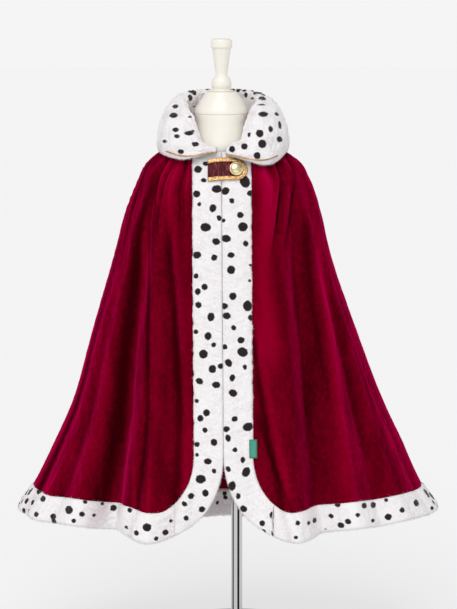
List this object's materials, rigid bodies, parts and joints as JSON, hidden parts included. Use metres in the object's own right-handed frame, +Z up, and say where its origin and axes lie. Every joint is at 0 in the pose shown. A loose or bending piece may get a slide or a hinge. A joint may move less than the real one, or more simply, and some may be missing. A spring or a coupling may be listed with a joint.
{
  "type": "king costume cape on a dress form stand",
  "caption": "Costume cape of crimson velvet with spotted white plush trim, rolled collar and a buttoned tab, worn by a child-size dress form on a round base.",
  "frame": {"origin": "middle of the round base's underside, on the pole's axis", "axes": "+Z up along the pole, -Y out of the cape's front, +X to the right of someone who looks at the front"},
  "size_m": [0.8407, 0.4144, 1.1841],
  "materials": {
    "velvet": "crimson pile velvet, bright where it slants away",
    "plush": "short white plush with black oval spots",
    "satin": "burgundy satin",
    "gold_trim": "gold lurex braid and piping",
    "button": "pearly gold, domed",
    "label": "teal woven label, bare",
    "form": "cream satin gloss",
    "stand_metal": "polished"
  },
  "bodies": {
    "root": {"base": "stand_metal", "pole": "stand_metal", "dress_form": "form", "neck_cap": "form", "finial": "form", "cape_back": "velvet", "cape_front_left": "velvet", "cape_front_right": "velvet", "front_trim_left": "plush", "front_trim_right": "plush", "hem_trim": "plush", "collar": "plush", "collar_piping": "gold_trim", "closure_tab": "satin", "tab_braid": "gold_trim", "button": "button", "label": "label"}
  },
  "joints": []
}
